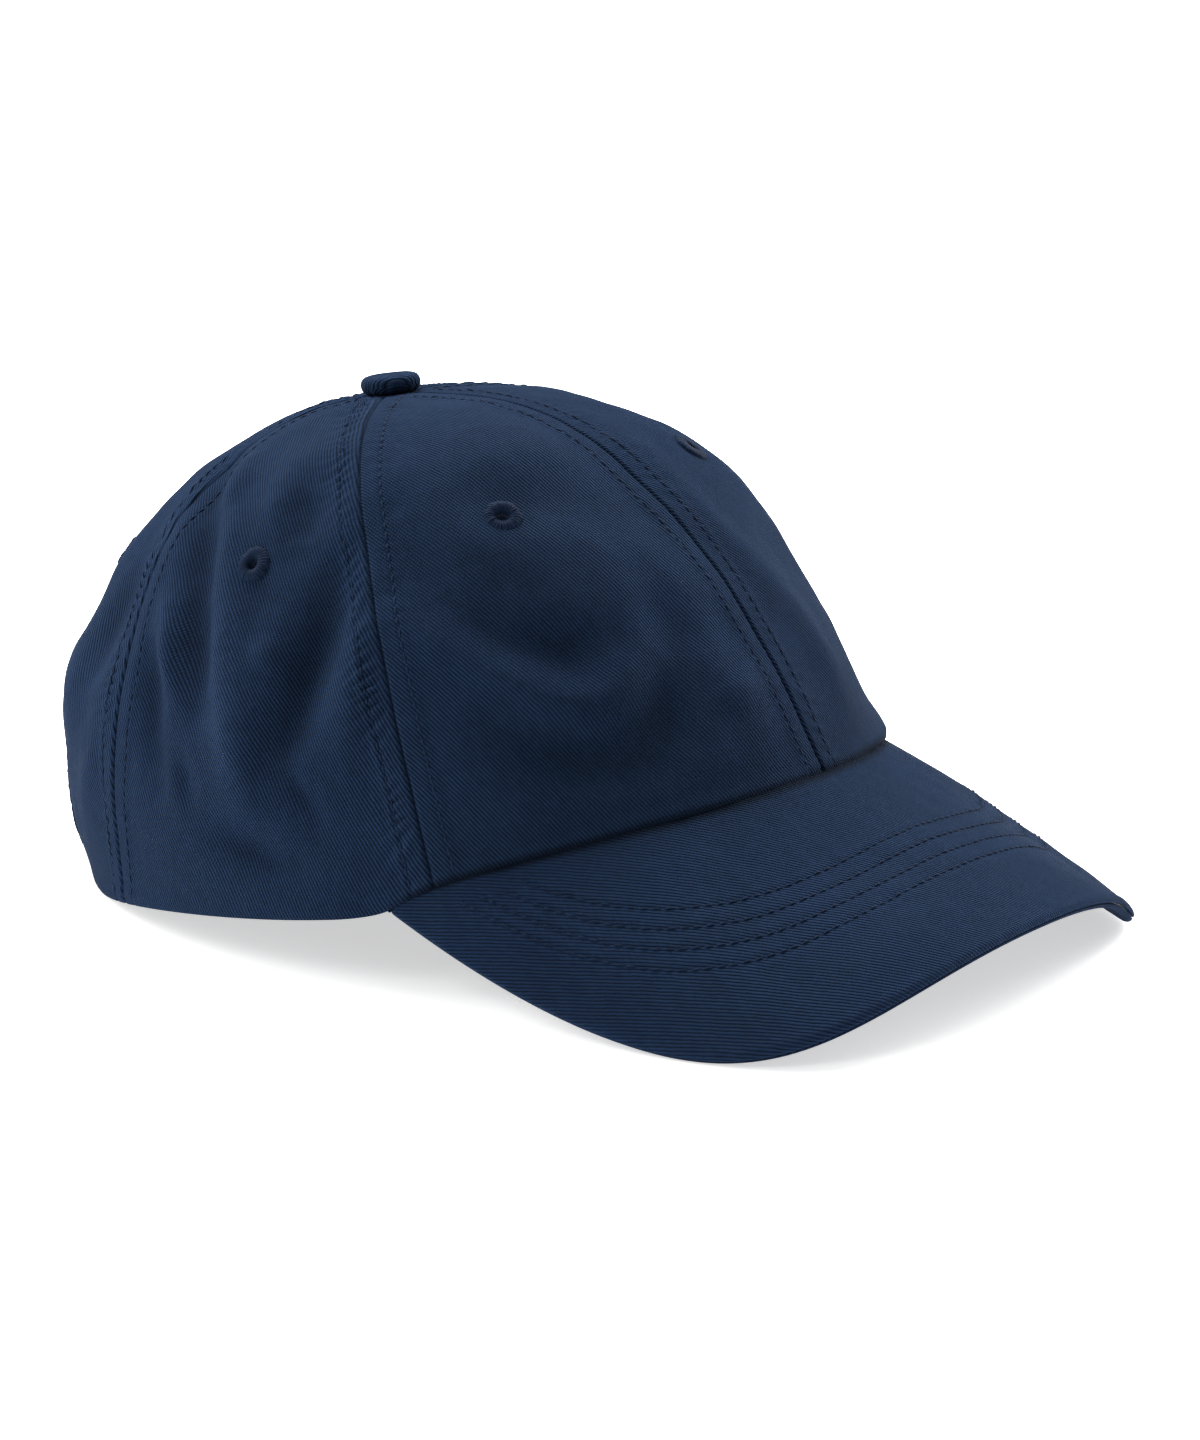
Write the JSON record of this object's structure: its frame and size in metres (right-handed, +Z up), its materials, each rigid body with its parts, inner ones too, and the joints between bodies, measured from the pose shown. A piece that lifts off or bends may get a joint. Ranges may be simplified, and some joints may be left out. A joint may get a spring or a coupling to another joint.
{
  "type": "baseball cap",
  "caption": "Soft low-profile baseball cap with a curved stitched peak, covered top button, stitched eyelets and a back strap with a flip clasp.",
  "frame": {"origin": "middle of the cap's bounding box, on the ground it rests on", "axes": "+Z up, -Y towards the peak (the wearer's front), -X towards the wearer's right; the cap stands tipped back on its rear edge and the two sides of the peak"},
  "size_m": [0.177, 0.2513, 0.1173],
  "materials": {
    "twill": "garment-washed cotton twill",
    "tape": "plain-weave cotton tape",
    "thread": "polyester thread",
    "binding": "folded cotton tape",
    "band": "soft cotton",
    "board": "matt moulded polyethylene",
    "brass": "antiqued, satin",
    "rivet": "satin"
  },
  "bodies": {
    "cap": {"panel_front_right": "twill", "panel_front_left": "twill", "panel_side_right": "twill", "panel_side_left": "twill", "panel_rear_right": "twill", "panel_rear_left": "twill", "seam_tape_front": "tape", "seam_tape_front_right": "tape", "seam_tape_front_left": "tape", "seam_tape_rear_right": "tape", "seam_tape_rear_left": "tape", "seam_tape_rear": "tape", "eyelet_front_right": "thread", "eyelet_front_left": "thread", "eyelet_side_right": "thread", "eyelet_side_left": "thread", "eyelet_rear_right": "thread", "eyelet_rear_left": "thread", "top_button": "twill", "button_rivet": "rivet", "sweatband": "band", "arch_binding": "binding", "peak_cloth_upper": "twill", "peak_board": "board", "peak_cloth_under": "twill", "peak_stitching": "thread", "clasp_tab": "twill", "clasp_frame": "brass", "clasp_pin": "brass"},
    "lever": {"clasp_lever": "brass"},
    "strap": {"adjuster_strap": "twill"}
  },
  "joints": [
    {"name": "clasp_lever_hinge", "type": "hinge", "parent": "cap", "child": "lever", "pos_m": [0.03364, 0.11177, 0.01453], "axis": [-0.0358, -0.2441, -0.9691], "range_deg": [0, 110]},
    {"name": "strap_slide", "type": "hinge", "parent": "cap", "child": "strap", "pos_m": [0, 0.04209, 0.02515], "axis": [0, 0.1478, 0.989], "range_deg": [-8, 8]}
  ]
}
